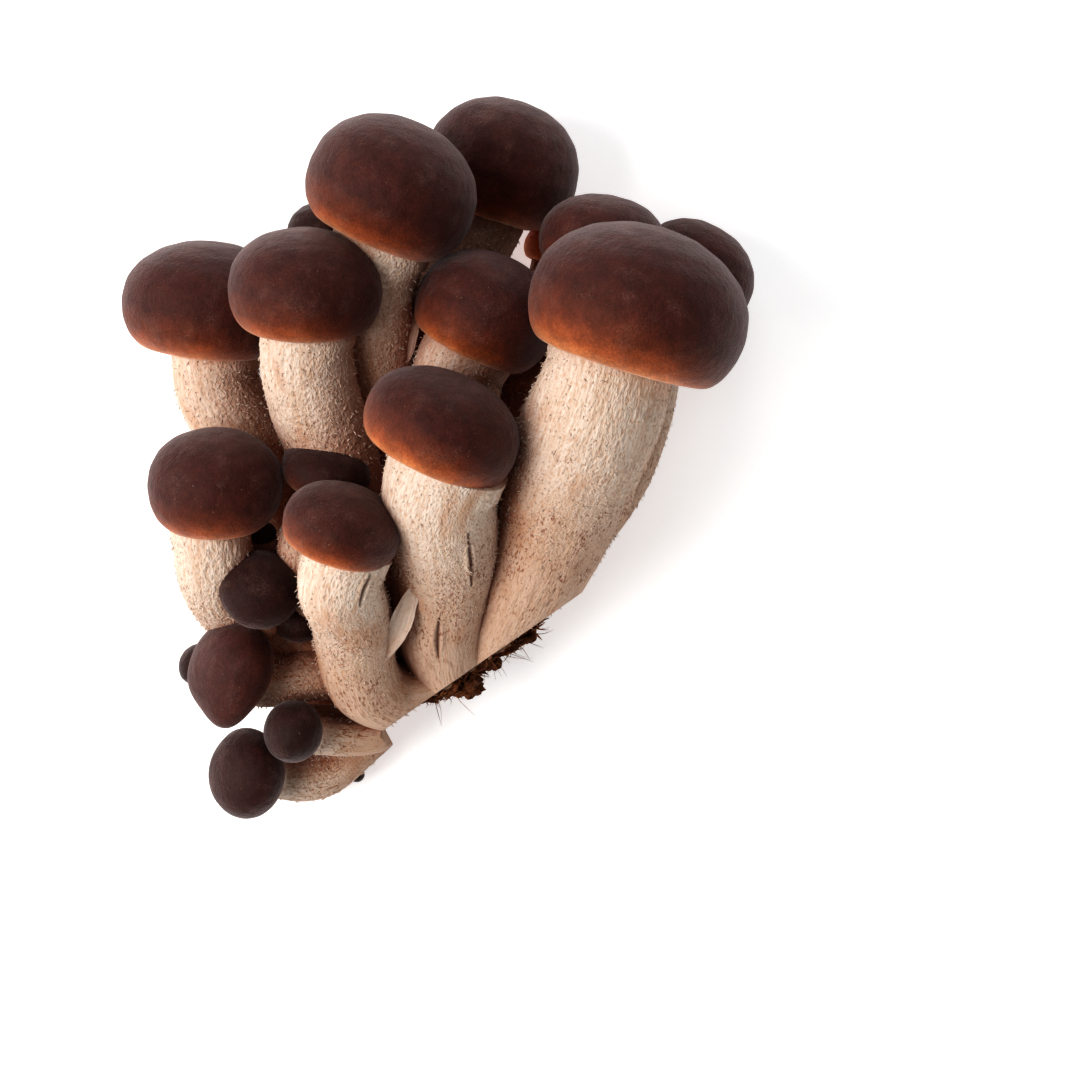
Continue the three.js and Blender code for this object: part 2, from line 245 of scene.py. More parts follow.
# %% Hills and hollows
def hashed(x, y, z, seed):
    """A number from 0 to 1 for each whole-number place."""
    h = (x * 374761393 + y * 668265263 + z * 1442695041 + seed * 974634777) & 0xFFFFFFFF
    h = ((h ^ (h >> 13)) * 1274126177) & 0xFFFFFFFF
    h = ((h ^ (h >> 16)) * 668265263) & 0xFFFFFFFF
    return (h ^ (h >> 15)) / 0xFFFFFFFF


def hills(places, size, seed=0):
    """Smooth heights from -1 to 1. size is how wide a hill is: one number, or one for each axis."""
    q = places / np.asarray(size, float)
    cell = np.floor(q).astype(np.int64)
    f = q - cell
    f = f * f * f * (f * (f * 6 - 15) + 10)
    total = 0
    for dx in (0, 1):
        for dy in (0, 1):
            for dz in (0, 1):
                weight = np.abs(1 - dx - f[..., 0]) * np.abs(1 - dy - f[..., 1])
                weight = weight * np.abs(1 - dz - f[..., 2])
                corner = (cell[..., 0] + dx, cell[..., 1] + dy, cell[..., 2] + dz)
                total = total + weight * hashed(*corner, seed)
    return total * 2 - 1


def between(low, high, value):
    """0 below low, 1 above high, and an easy slope between them."""
    t = np.clip((value - low) / (high - low), 0, 1)
    return t * t * (3 - 2 * t)


# %% [markdown]
# Every piece is made the same way: a grid of points that closes on itself sideways, with numbers
# attached to each point that its material reads later, such as how near the margin it is.


# %% From a grid of points to a Blender object
def make_object(name, points, faces, numbers=None):
    """A smooth mesh. numbers: {name: one number or one vector for each point}."""
    mesh = bpy.data.meshes.new(name)
    mesh.vertices.add(len(points))
    mesh.vertices.foreach_set("co", (np.asarray(points, float) * MM).ravel())
    sizes = np.array([len(f) for f in faces])
    mesh.loops.add(int(sizes.sum()))
    mesh.loops.foreach_set("vertex_index", np.concatenate(faces).astype(np.int32))
    mesh.polygons.add(len(faces))
    starts = np.concatenate([[0], np.cumsum(sizes)[:-1]])
    mesh.polygons.foreach_set("loop_start", starts.astype(np.int32))
    mesh.update(calc_edges=True)
    mesh.validate()
    mesh.polygons.foreach_set("use_smooth", np.ones(len(mesh.polygons), bool))
    for key, values in (numbers or {}).items():
        values = np.asarray(values, np.float32)
        kind, field = ("FLOAT_VECTOR", "vector") if values.ndim == 2 else ("FLOAT", "value")
        mesh.attributes.new(key, kind, "POINT").data.foreach_set(field, values.ravel())
    made = bpy.data.objects.new(name, mesh)
    bpy.context.scene.collection.objects.link(made)
    return made


def tube_faces(rows, columns):
    """Faces of a grid that closes sideways, with a lid at each end."""
    i, j = np.meshgrid(np.arange(rows - 1), np.arange(columns), indexing="ij")
    a, b = i * columns + j, i * columns + (j + 1) % columns
    sides = np.stack([a, b, b + columns, a + columns], axis=-1).reshape(-1, 4)
    first, last = np.arange(columns)[::-1], np.arange(columns) + (rows - 1) * columns
    return [*sides, first, last]


# %% [markdown]
# Scales, slivers and root hairs are all thin tapered threads with a few flat sides. They are
# joined to the piece that they grow on, by the hundred or the thousand, so it stays one object.


# %% Threads
def thread(line, radii, sides=4):
    """A thin tube along a line of points."""
    line, radii = np.asarray(line), np.asarray(radii)
    along = np.gradient(line, axis=0)
    along = along / np.maximum(np.linalg.norm(along, axis=1), 1e-9)[:, None]
    first, second = square_to(along[0])
    turns = np.arange(sides) * 2 * math.pi / sides
    ring = np.cos(turns)[:, None] * first + np.sin(turns)[:, None] * second
    return (line[:, None] + radii[:, None, None] * ring).reshape(-1, 3)


def with_threads(points, faces, numbers, threads, rows, own, sides=4):
    """A mesh with threads of so many rows joined on. own: {number: one value for each thread}."""
    if not threads:
        return points, faces, numbers
    start, size = len(points), rows * sides
    pattern = tube_faces(rows, sides)
    faces = list(faces) + [f + start + size * i for i in range(len(threads)) for f in pattern]
    points = np.vstack([points, *threads])
    joined = {}
    for key, values in numbers.items():
        extra = np.vstack(threads) if values.ndim == 2 else np.repeat(own[key], size)
        joined[key] = np.concatenate([values, extra])
    return points, faces, joined


# %% [markdown]
# ## Caps
#
# The dome is velvety with faint lumps. At the margin the skin rolls under and ends in a thin, pale,
# slightly ragged lip, which is what is left of the veil that covered the underside. Under the lip
# the surface is the veil itself, cottony and cream.

# %% Grow the caps
CAP_STEP = 0.34  # millimetres between two points of a cap
LUMP = 0.014  # height of the broad lumps, as a share of the cap's radius
LIP_WIDTH = 0.05  # of the lip at the margin, in radians
LIP_HEIGHT, MARGIN_RAG = 0.12, 0.22  # how far the lip stands out and strays, in millimetres
VEIL_ROUGHNESS = 0.12  # millimetres
LIT_SIDE = np.array([-0.8, -0.55, 0.25])  # towards the big light: the amber band is painted wider on this side, a painted glow
PAINTED_SHADE_NARROWING = 0.11  # how much narrower the amber is on the other side, a painted shade
OLD, YOUNG = 10.5, 5.5  # radius of a cap that has its full colour, and of one that is still black
PAINTED_GLOW_CAPS = {"far_top_cap": -0.6}  # this one sits in shade with only its rim showing, and is painted a bright orange glow all over


def grow_cap(node, seed):
    cap = cap_of[node]
    radius, edge = cap["radius"], cap["edge"]
    step = max(CAP_STEP * coarse, radius / 60)
    rows = max(24, int(math.pi * radius / step))
    columns = max(32, int(2 * math.pi * radius / step))
    tilt = np.linspace(0.004, math.pi - 0.004, rows)[:, None]
    turn = (np.arange(columns) * 2 * math.pi / columns)[None, :]
    reach = 0
    for k in range(WAVES + 1):
        real = np.interp(tilt, TILTS, cap["waves"][:, k].real)
        imaginary = np.interp(tilt, TILTS, cap["waves"][:, k].imag)
        share = 1 if k == 0 else 2
        reach = reach + share * (real * np.cos(k * turn) - imaginary * np.sin(k * turn))
    out = np.stack(
        [np.sin(tilt) * np.cos(turn), np.sin(tilt) * np.sin(turn), np.cos(tilt) + 0 * turn], axis=-1
    )
    place = out * reach[..., None]
    at_edge = np.exp(-(((tilt - edge) / LIP_WIDTH) ** 2))
    below = between(edge, edge + 0.12, tilt)
    height = LUMP * radius * hills(place, radius * 0.8, seed)
    height = height + 0.3 * LUMP * radius * hills(place, radius * 0.3, seed + 1)
    height = height + at_edge * (LIP_HEIGHT + MARGIN_RAG * hills(place, 0.9, seed + 2))
    height = height + below * VEIL_ROUGHNESS * hills(place, 0.7, seed + 3)
    place = out * (reach + height)[..., None]
    frame_axes = np.stack([cap["u"], cap["v"], cap["axis"]])
    points = cap["middle"] + place.reshape(-1, 3) @ frame_axes
    # Painted glow: the side of each cap that faces the big light gets a wider amber band, and the
    # far side a narrower one, which is painted shade.
    painted_glow_side = between(-0.5, 0.6, (out @ frame_axes) @ unit(LIT_SIDE))
    # A number below 0 asks for a painted glow in place of an age.
    youth_and_painted_glow = PAINTED_GLOW_CAPS.get(node, between(OLD, YOUNG, radius))
    numbers = {
        "place": place.reshape(-1, 3) + seed * 37.0,
        # The margin number carries that painted glow and shade as well as the real margin.
        "margin": (tilt / edge - PAINTED_SHADE_NARROWING * (1 - painted_glow_side) * (tilt < edge)).ravel(),
        "youth_and_painted_glow": np.full(len(points), youth_and_painted_glow),
    }
    return make_object(node, points, tube_faces(rows, columns), numbers)


cap_objects = {node: grow_cap(node, i * 5) for i, node in enumerate(caps)}
print("caps:", sum(len(o.data.vertices) for o in cap_objects.values()), "points")

# %% [markdown]
# ## Stems
#
# The upper part of a stem is covered with small torn scales, like the nap of a towel, and the lower
# part is bare and drawn out in long fibres with folds between them. A crease here and there runs
# the length of the stem. All stems end at the cut face, which the crust's flat solid gives.

# %% Where the cut face of the foot is
crust_points = solid_of("substrate_crust")[0]
crust_middle = crust_points.mean(0)
FACE_HALF = 20  # half of the cut face's length, and some more, in millimetres
face_normal = np.linalg.svd(crust_points - crust_middle, full_matrices=False)[2][2]
face_normal = face_normal * -np.sign(face_normal[1])  # it looks away from the caps
face_depth = ((crust_points - crust_middle) @ face_normal).min() + crust_middle @ face_normal
face_along = unit(np.cross(face_normal, [0, 0, 1]))
print("the face looks along", face_normal.round(2))


def trimmed(points):
    """Points beyond the cut face, moved back onto it."""
    beyond = np.maximum(points @ face_normal - face_depth, 0)
    along = (points - crust_middle) @ np.cross(face_normal, [0, 0, 1])
    beyond = beyond * (np.abs(along) < FACE_HALF)
    return points - beyond[..., None] * face_normal


# %% [markdown]
# A stem is laid out as rings along its line. It starts inside its cap and ends inside the foot, so
# that no gap shows. The directions of each ring are carried on from the one before, so the skin
# isn't twisted.

# %% Lay out a stem
STEM_STEP = 0.24  # millimetres between two points of a stem
SMALL_STEM, SMALL_STEP = 5, 1.4  # stems slimmer than the first, in mm, take wider steps
INTO_CAP = 1.2  # how far a stem carries on into its cap
INTO_FOOT = 1.5
EVEN_OUT = 2.0  # millimetres over which kinks in the line are evened out
SLIM = 3.4  # a stem with a heel slimmer than this is rounded off at its foot
ROUND_OFF = 1.2  # over this many radii
# Stems behind the others are pressed flat and broad, so they fill the gaps between those in front.
# Each pair is how much broader a stem is under its cap, and from near its middle down.
BROADER = {
    "giant_stem": (0.9, 1.1), "top_stem": (1.35, 1.35), "top_left_stem": (1.1, 1.1),
    "behind_giant_stem": (1.35, 1.35), "middle_stem": (1.1, 1.1), "peeping_stem": (1.2, 1.2),
    "hidden_bud_stem": (1.5, 1.5), "tucked_stem": (1.3, 1.6), "lower_left_stem": (1.03, 1.06),
}
BROAD_FROM = 0.45


def lay_out(node):
    """The rings of a stem: distances, middles, radii, three directions, and points in a ring."""
    line, radii = stem_of[node]
    run = np.linspace(0, 1, len(radii))
    radii = radii * np.interp(run, (0, BROAD_FROM), BROADER.get(node, (1, 1)))
    start, end = unit(line[0] - line[1]), unit(line[-1] - line[-2])
    first, last = line[0] + start * (SEAT_GAP + INTO_CAP), line[-1] + end * INTO_FOOT
    line = np.vstack([first, line, last])
    radii = np.concatenate([radii[:1], radii, radii[-1:]])
    lengths = np.concatenate([[0], np.cumsum(np.linalg.norm(np.diff(line, axis=0), axis=1))])
    total = lengths[-1]
    step = STEM_STEP * coarse * (1.0 if radii.max() > SMALL_STEM else SMALL_STEP)
    rows = max(12, int(total / step))
    columns = max(20, int(2 * math.pi * radii.max() / step))
    s = np.linspace(0, total, rows)
    centre = np.stack([np.interp(s, lengths, line[:, k]) for k in range(3)], axis=1)
    for _ in range(int(EVEN_OUT / step) + 1):
        centre[1:-1] = (centre[:-2] + 2 * centre[1:-1] + centre[2:]) / 4
    thick = np.interp(s, lengths, radii)
    if radii[-1] < SLIM:
        to_end = np.clip((total - s) / (ROUND_OFF * radii[-1]), 0.02, 1)
        thick = thick * np.sqrt(to_end * (2 - to_end))
    along = np.gradient(centre, axis=0)
    along = along / np.linalg.norm(along, axis=1)[:, None]
    side = np.zeros_like(centre)
    side[0] = square_to(along[0])[0]
    for i in range(1, rows):
        side[i] = unit(side[i - 1] - along[i] * (side[i - 1] @ along[i]))
    return s, centre, thick, along, side, np.cross(along, side), columns


# %% [markdown]
# The slits are the few places where the skin split: a gap with a lip on each side, darkened with
# painted shade.

# %% Tear the slits
# Where each begins and ends below the cap, and how far right it is of the line that faces straight
# up, in millimetres.
SLITS = {"front_stem": [(6, 18, 4.4), (25, 35, 0.3)], "front_small_stem": [(-0.5, 4.5, 5.0)]}
NARROW_GAPE, WIDE_GAPE = 0.1, 0.22  # half of a slit's width at its ends, and what the middle adds
LIP = 0.3  # how high a slit's lips stand


def tear_slits(node, down, turn, wide, thick, side, other):
    """Slits' depth and painted shade, and their lips' height, for each point of a stem."""
    slit_and_painted_shade, lips = np.zeros_like(down), np.zeros_like(down)
    for top, bottom, sideways in SLITS.get(node, ()):
        level = np.argmin(np.abs(down[:, 0] - (top + bottom) / 2))
        facing = math.atan2(other[level, 2], side[level, 2]) - sideways / thick[level]
        aside = np.abs((turn - facing + math.pi) % (2 * math.pi) - math.pi) * wide
        open_wide = np.sin(math.pi * np.clip((down - top) / (bottom - top), 0, 1))
        gape = NARROW_GAPE + WIDE_GAPE * open_wide
        inside = (down > top) & (down < bottom)
        slit_and_painted_shade = np.maximum(slit_and_painted_shade, np.exp(-((aside / gape) ** 2)) * inside)
        beside = np.exp(-(((aside - 2.2 * gape) / (1.2 * gape)) ** 2))
        lips += LIP * beside * inside * open_wide
    return slit_and_painted_shade, lips


# %% [markdown]
# A scale is a short sliver of skin, rooted in the stem and lifted at its lower end. Scales thin out
# where the stem is bare.

# %% Scatter the scales
SCALES_PER_MM2 = 0.9
FROM_CAP, TO_FOOT = 0.3, 0.97  # scales begin this far below the cap, and stop at this share
LOST, LOST_BARE = 0.15, 0.8  # share of the scales that is left out, and what bareness adds
SCALE_ROOT = 0.05


def scatter_scales(points, directions, down, share, bare, turn, count, seed):
    """Threads for the scales of a stem, and each scale's own numbers."""
    rows, columns = down.shape
    along, side, other = directions
    rng = np.random.default_rng(seed)
    scales, own = [], {key: [] for key in ("down", "bare", "crease_and_painted_shade")}
    for _ in range(count):
        i, j = rng.integers(2, rows - 2), rng.integers(columns)
        if share[i, j] > TO_FOOT or down[i, j] < FROM_CAP:
            continue
        if rng.random() < LOST + LOST_BARE * bare[i, j]:
            continue
        outward = side[i] * math.cos(turn[0, j]) + other[i] * math.sin(turn[0, j])
        across = np.cross(along[i], outward)
        heading = along[i] * rng.normal(0.6, 0.5) + across * rng.normal(0, 0.6)
        heading = unit(heading + outward * rng.uniform(0.3, 1))
        long, wide = rng.uniform(0.35, 0.9), rng.uniform(0.05, 0.12)
        root = points[i, j] - outward * SCALE_ROOT
        tip = root + heading * long - outward * 0.12 * long
        line = [root, root + heading * long * 0.5, tip]
        scales.append(thread(line, [wide, wide * 0.8, wide * 0.25]))
        # The material knows a scale by its bareness below 0, and keeps the painted shade of the
        # nooks off it, so it stays pale.
        for key, value in (("down", share[i, j] * 0.3), ("bare", -1.0), ("crease_and_painted_shade", 0.0)):
            own[key].append(value)
    return scales, own


# %% Grow the stems
SCALE_HEIGHT = 0.13
FIBRE_HEIGHT = 0.06
CREASE_WIDTH = 0.024
CREASE_DEPTH, DEEPEST = 0.06, 0.4  # as a share of the radius, and at most in millimetres
FLARE, FLARE_LENGTH = 0.04, 1.6  # a stem widens a little where it meets its cap


def grow_stem(node, seed):
    s, centre, thick, along, side, other, columns = lay_out(node)
    total = s[-1]
    turn = (np.arange(columns) * 2 * math.pi / columns)[None, :]
    down = (s - INTO_CAP - SEAT_GAP)[:, None] + 0 * turn
    share = np.clip(down / (total - INTO_CAP - INTO_FOOT), 0, 1)
    wide = np.maximum(thick, 0.4)[:, None] + 0 * turn
    place = np.stack([wide * np.cos(turn), wide * np.sin(turn), down], axis=-1)
    bare = between(0.3, 0.75, share + 0.16 * hills(place, 5.0, seed))
    height = 0.02 * wide * hills(place, 6.5, seed + 1) + 0.01 * wide * hills(place, 2.4, seed + 2)
    height += 0.035 * wide * between(0.3, 1, share) * hills(place, (2.6, 2.6, 26.0), seed + 3)
    height += FLARE * wide * np.exp(-((np.maximum(down, 0) / FLARE_LENGTH) ** 2))

    crease_and_painted_shade = np.exp(-((hills(place, (2.8, 2.8, 34.0), seed + 4) / CREASE_WIDTH) ** 2))
    crease_and_painted_shade = crease_and_painted_shade * between(0.1, 0.4, hills(place, (5.0, 5.0, 22.0), seed + 5))
    in_reach = between(0.4, 0.6, share) * between(0.88, 0.78, share) * (wide > 3)
    slit_and_painted_shade, lips = tear_slits(node, down, turn, wide, thick, side, other)
    # The slits join the creases: both are cut in, and both are darkened with painted shade in the
    # material.
    crease_and_painted_shade = np.maximum(0.5 * crease_and_painted_shade * in_reach, slit_and_painted_shade)
    height += lips
    height -= np.minimum(CREASE_DEPTH * wide, DEEPEST) * crease_and_painted_shade

    nap = between(0.1, 0.75, hills(place, 0.55, seed + 6))
    nap = nap * between(-0.6, 0.2, hills(place, 2.4, seed + 7))
    height += SCALE_HEIGHT * nap * (1 - bare)
    fibre = hills(place, (0.4, 0.4, 6.0), seed + 8) + 0.6 * hills(place, (0.9, 0.9, 14.0), seed + 9)
    height += FIBRE_HEIGHT * fibre * (0.1 + 0.9 * bare)

    out = wide + height
    points = trimmed(
        centre[:, None]
        + side[:, None] * (np.cos(turn) * out)[..., None]
        + other[:, None] * (np.sin(turn) * out)[..., None]
    )
    numbers = {
        "place": place.reshape(-1, 3) + seed * 53.0,
        "down": share.ravel(), "bare": bare.ravel(), "crease_and_painted_shade": crease_and_painted_shade.ravel(),
    }
    count = int(SCALES_PER_MM2 * 2 * math.pi * thick.mean() * total / coarse)
    scales, own = scatter_scales(
        points, (along, side, other), down, share, bare, turn, count, seed
    )
    flat, faces = points.reshape(-1, 3), tube_faces(len(s), columns)
    return make_object(node, *with_threads(flat, faces, numbers, scales, 3, own))


stem_objects = {node: grow_stem(node, 200 + i * 11) for i, node in enumerate(stems)}
print("stems:", sum(len(o.data.vertices) for o in stem_objects.values()), "points")

# %% [markdown]
# ## The foot, the crust and the torn shreds
#
# These are lumps with no regular shape, so each starts as its CAD solid, is cut into small
# triangles, and has hills added along its own normals.


# %% Grow the lumps
def finer(points, triangles):
    """Every triangle cut into four."""
    edges = np.sort(
        np.concatenate([triangles[:, [0, 1]], triangles[:, [1, 2]], triangles[:, [2, 0]]]), axis=1
    )
    pairs, index = np.unique(edges, axis=0, return_inverse=True)
    middle = index.reshape(3, -1).T + len(points)
    a, b, c = triangles.T
    ab, bc, ca = middle.T
    cut = np.concatenate(
        [np.stack(t, axis=1) for t in ((a, ab, ca), (ab, b, bc), (ca, bc, c), (ab, bc, ca))]
    )
    return np.vstack([points, (points[pairs[:, 0]] + points[pairs[:, 1]]) / 2]), cut


def normals_of(points, triangles):
    a, b, c = (points[triangles[:, k]] for k in range(3))
    face = np.cross(b - a, c - a)
    total = np.zeros_like(points)
    for k in range(3):
        np.add.at(total, triangles[:, k], face)
    return total / np.maximum(np.linalg.norm(total, axis=1), 1e-12)[:, None]


def softened(points, triangles, times):
    """Each point moved towards the middle of its neighbours."""
    a = np.concatenate([triangles[:, 0], triangles[:, 1], triangles[:, 2]])
    b = np.concatenate([triangles[:, 1], triangles[:, 2], triangles[:, 0]])
    count = np.bincount(a, minlength=len(points))[:, None]
    for _ in range(times):
        total = np.zeros_like(points)
        np.add.at(total, a, points[b])
        points = 0.5 * points + 0.5 * total / np.maximum(count, 1)
    return points


SUNK = 0.9  # how far the clumps are pressed into the crust, in millimetres


def flesh_numbers(place, down):
    """What the stem material reads, for a piece that is bare and has no creases."""
    size = len(place)
    return {
        "place": place, "down": np.full(size, down),
        "bare": np.ones(size), "crease_and_painted_shade": np.zeros(size),
    }


def grow_lump(node, seed, rounds, soften, bumps, squash=1.0):
    """bumps: (height, size) pairs. squash: how much of its thickness on the cut face it keeps."""
    points, triangles = solid_of(node)
    for _ in range(rounds - (1 if coarse > 1 else 0)):
        points, triangles = finer(points, triangles)
    points = softened(points, triangles, soften)
    if node == "foot":
        points = trimmed(points)
    off = points @ face_normal - (points @ face_normal).min()
    points = points - ((1 - squash) * off + SUNK * (squash < 1))[:, None] * face_normal
    normals = normals_of(points, triangles)
    height = sum(tall * hills(points, size, seed + i) for i, (tall, size) in enumerate(bumps))
    points = points + normals * height[:, None]
    return make_object(node, points, list(triangles), flesh_numbers(points, 1.0))


FOOT_BUMPS = [(0.25, 3.0), (0.1, 0.8)]  # (height, size) in millimetres
CLUMP_BUMPS = [(0.5, 1.4), (0.4, 0.7), (0.15, 0.3)]
lumps = {"foot": grow_lump("foot", 900, 3, 6, FOOT_BUMPS)}
chunks = sorted(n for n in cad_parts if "clump" in n or "chip" in n)
for i, node in enumerate(chunks):
    squash = 0.9 if node.endswith("large") else 0.6
    lumps[node] = grow_lump(node, 920 + 10 * i, 4, 3, CLUMP_BUMPS, squash)

# %% [markdown]
# The crust is a thin ragged layer on the cut face. Slivers of wood lie on it at all angles, and
# fine roots and threads hang from it.

# %% Grow the crust
SLIVERS = 260
ROOTS = 70
CRUMB = 0.16  # height of the crumbs, in millimetres


def grow_crust(node, seed):
    points, triangles = solid_of(node)
    for _ in range(4 if coarse == 1 else 3):
        points, triangles = finer(points, triangles)
    local = points - crust_middle
    depth, reach = local @ face_normal, np.abs(local @ face_along)
    half, long = depth.max(), reach.max()
    ragged = 0.3 + 0.7 * between(-0.5, 0.9, hills(points, 2.6, seed))
    ragged = ragged + 0.4 * hills(points, 0.8, seed + 1)
    ragged = np.clip(ragged * between(1.0, 0.75, reach / long), 0.08, 1.2)
    points = points + face_normal * ((depth + half) * (ragged - 1))[:, None]
    crumbs = CRUMB * hills(points, 0.45, seed + 2)
    points = points + normals_of(points, triangles) * crumbs[:, None]
    rng = np.random.default_rng(seed)
    outer = np.flatnonzero((depth > 0.4 * half) & (reach < 0.97 * long))
    threads = []
    for k in range(SLIVERS + ROOTS):
        root = points[rng.choice(outer)]
        if k < SLIVERS:
            long_here, wide_here = rng.uniform(0.7, 2.8), rng.uniform(0.05, 0.2)
            heading = face_along * rng.normal(0, 1) + face_normal * rng.normal(0.05, 0.22)
            heading = heading + np.array([0, 0, rng.normal(0, 0.7)])
            sag, taper = 0.1, (0.6, 1.0, 0.9, 0.6, 0.15)
        else:
            long_here, wide_here = rng.uniform(0.9, 3.0), rng.uniform(0.04, 0.08)
            heading = face_normal + face_along * rng.normal(0, 0.6)
            heading = heading + np.array([0, 0, rng.normal(0, 0.4)])
            sag, taper = 0.5, (1.0, 0.9, 0.8, 0.6, 0.3)
        heading = unit(heading) * long_here
        bow = rng.normal(0, sag, 3) * long_here
        line = [root + heading * t + bow * t * t for t in np.linspace(0, 1, 5)]
        threads.append(thread(line, np.array(taper) * wide_here))
    # Above 1 the tone is the pale web against the stems; wood and threads go from 0 to 1.
    numbers = {"place": points, "tone": 2 * between(0.1, -0.5, depth / half)}
    own = {"tone": rng.uniform(0, 1, len(threads))}
    return make_object(node, *with_threads(points, list(triangles), numbers, threads, 5, own))


lumps["substrate_crust"] = grow_crust("substrate_crust", 910)

# %% [markdown]
# A shred is a strip of the stem's skin, torn loose when two mushrooms were pulled apart. It is
# thin, curls along its length, and comes to a point at both ends.

# %% Grow the shreds
SHRED_THICK = 0.22
SHRED_LONGER = 1.12  # its pointed ends reach into the stems that it was torn from


def grow_shred(node, seed, curl):
    points = solid_of(node)[0]
    middle = points.mean(0)
    long, wide, thin = np.linalg.svd(points - middle, full_matrices=False)[2]
    thin = thin * np.sign(thin[2])
    reach = [np.abs((points - middle) @ a).max() * SHRED_LONGER for a in (long, wide)]
    rows, columns = 90, 48
    run = np.linspace(-1, 1, rows)[:, None]
    turn = (np.arange(columns) * 2 * math.pi / columns)[None, :]
    flat = 0 * run + 0 * turn
    place = [np.cos(turn) * reach[1] + flat, np.sin(turn) + flat, run * reach[0] + flat]
    place = np.stack(place, axis=-1)
    ragged = 1 + 0.08 * hills(place, (1.5, 1.5, 1.6), seed)
    breadth = reach[1] * np.clip(1 - np.abs(run) ** 2.2, 0.02, 1) * ragged
    over = np.cos(turn) * breadth
    lift = SHRED_THICK * np.sin(turn) * (1 + 0.5 * hills(place, (0.5, 0.5, 5.0), seed + 1))
    lift = lift + curl * (over / reach[1]) ** 2 + 0.35 * hills(place, (3.0, 3.0, 5.0), seed + 2)
    grid = middle + (run * reach[0])[..., None] * long + over[..., None] * wide
    points = (grid + lift[..., None] * thin).reshape(-1, 3)
    numbers = flesh_numbers(place.reshape(-1, 3), 0.12)
    return make_object(node, points, tube_faces(rows, columns), numbers)


lumps["torn_flap"] = grow_shred("torn_flap", 970, 0.55)
lumps["torn_flake"] = grow_shred("torn_flake", 980, 0.3)

# %% [markdown]
# ## Materials
#
# All colours are procedural. A helper turns a colour as the eye names it, in 0 to 255 steps, into
# the light values that the renderer works with.


# %% Small tools for building materials
def colour(red, green, blue):
    return tuple((x / 255) ** 2.2 for x in (red, green, blue)) + (1.0,)


class Shader:
    """A material under construction. Each method adds one step and returns its result."""

    def __init__(self, name):
        self.material = bpy.data.materials.new(name)
        self.material.use_nodes = True
        self.tree = self.material.node_tree
        self.surface = self.tree.nodes["Principled BSDF"]

    def add(self, kind, settings=None, inputs=None, output=0):
        made = self.tree.nodes.new("ShaderNode" + kind)
        for key, value in (settings or {}).items():
            setattr(made, key, value)
        for key, value in (inputs or {}).items():
            self.put(made.inputs[key], value)
        return made.outputs[output]

    def put(self, socket, value):
        if isinstance(value, bpy.types.NodeSocket):
            self.tree.links.new(value, socket)
        else:
            socket.default_value = value

    def number(self, name):
        return self.add("Attribute", {"attribute_name": name}, output="Fac")

    def place(self, stretch):
        """Where the point is on its own piece, in millimetres, multiplied by stretch."""
        where = self.add("Attribute", {"attribute_name": "place"}, output="Vector")
        return self.add("VectorMath", {"operation": "MULTIPLY"}, {0: where, 1: stretch})

    def noise(self, stretch, detail=3.0, rough=0.55):
        return self.add(
            "TexNoise", None,
            {"Vector": self.place(stretch), "Scale": 1.0, "Detail": detail, "Roughness": rough},
        )

    def math(self, operation, a, b):
        return self.add("Math", {"operation": operation}, {0: a, 1: b})

    def times(self, a, b):
        return self.math("MULTIPLY", a, b)

    def slope(self, value, low, high, to_low=0.0, to_high=1.0):
        inputs = {"Value": value, "From Min": low, "From Max": high}
        inputs.update({"To Min": to_low, "To Max": to_high})
        return self.add("MapRange", {"interpolation_type": "SMOOTHSTEP"}, inputs)

    def mix(self, share, a, b, blend="MIX"):
        made = self.tree.nodes.new("ShaderNodeMix")
        made.data_type, made.blend_type = "RGBA", blend
        self.put(made.inputs[0], share)
        self.put(made.inputs[6], a)
        self.put(made.inputs[7], b)
        return made.outputs[2]

    def ramp(self, value, stops):
        made = self.tree.nodes.new("ShaderNodeValToRGB")
        scale = made.color_ramp
        while len(scale.elements) < len(stops):
            scale.elements.new(0.5)
        for element, (at, tint) in zip(scale.elements, stops):
            element.position, element.color = at, tint
        self.put(made.inputs[0], value)
        return made.outputs[0]

    def bumps(self, height, distance, strength=1.0, under=None):
        inputs = {"Height": height, "Distance": distance, "Strength": strength}
        if under is not None:
            inputs["Normal"] = under
        return self.add("Bump", None, inputs)

    def finish(self, settings):
        """Set the surface's sockets, each to one value or to the result of a step."""
        for key, value in settings.items():
            self.put(self.surface.inputs[key], value)


# %% [markdown]
# The cap's colour follows its margin number: chocolate over the dome, warmer and lighter as the
# flesh thins towards the rolled edge, a pale lip, and the cream veil below it. The amber band is
# painted wider on the side that faces the big light, a painted glow, and narrower on the far
# side, a painted shade. A cap in shade may be painted a bright orange glow all over.

# %% Cap material
skin = Shader("cap_skin")
margin, youth_and_painted_glow = skin.number("margin"), skin.number("youth_and_painted_glow")
drift = skin.times(skin.math("SUBTRACT", skin.noise((0.12, 0.12, 0.12)), 0.5), 0.1)
where = skin.times(skin.math("ADD", margin, drift), 0.5)  # the margin is at 0.5
tint = skin.ramp(where, [
    (0.0, colour(84, 52, 47)), (0.18, colour(74, 40, 35)), (0.33, colour(76, 38, 30)),
    (0.395, colour(106, 53, 33)), (0.44, colour(156, 84, 48)), (0.473, colour(204, 130, 82)),
    (0.489, colour(232, 200, 168)), (0.6, colour(218, 196, 174)),
])
patch = skin.slope(skin.noise((0.35, 0.35, 0.35), 4.0), 0.3, 0.7, 0.8, 1.16)
pores = skin.slope(skin.noise((2.4, 2.4, 2.4), 3.0, 0.6), 0.35, 0.65, 0.82, 1.12)
patch = skin.times(skin.times(patch, pores), skin.slope(youth_and_painted_glow, 0.0, 1.0, 1.0, 0.46))
patch = skin.add("CombineColor", None, {0: patch, 1: patch, 2: patch})
tint = skin.mix(1.0, tint, patch, "MULTIPLY")
